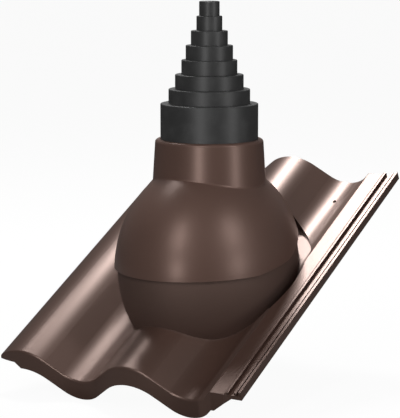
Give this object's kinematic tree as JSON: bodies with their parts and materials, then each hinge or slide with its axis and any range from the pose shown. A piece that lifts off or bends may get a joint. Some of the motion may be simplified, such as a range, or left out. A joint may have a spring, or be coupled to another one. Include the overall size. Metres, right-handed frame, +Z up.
{
  "type": "roof pipe flashing",
  "caption": "Wavy roof tile with a moulded ball, a hood that tilts over it to suit the pitch of the roof, and a stepped rubber sleeve cut back to fit a pipe.",
  "frame": {"origin": "centre of the tile's ball, which the hood turns about", "axes": "+Z up, the axis of the collar and the sleeve as the picture shows them; +Y level, towards the ridge of the roof; +X level, across the roof, to the right seen from the eaves. The tile slopes at 28.4 degrees."},
  "size_m": [0.33, 0.3871, 0.4538],
  "materials": {
    "tile_plastic": "glossy dark brown",
    "hood_plastic": "satin dark brown",
    "sleeve_rubber": "matt near-black rubber",
    "socket_plastic": "matt black"
  },
  "bodies": {
    "tile": {"base_tile": "tile_plastic"},
    "hood": {"hood": "hood_plastic", "stepped_sleeve": "sleeve_rubber", "guide_socket": "socket_plastic"}
  },
  "joints": [
    {"name": "hood_tilt", "type": "hinge", "parent": "tile", "child": "hood", "pos_m": [0, 0, 0], "axis": [1, 0, 0], "range_deg": [-11.6, 13.4]}
  ]
}
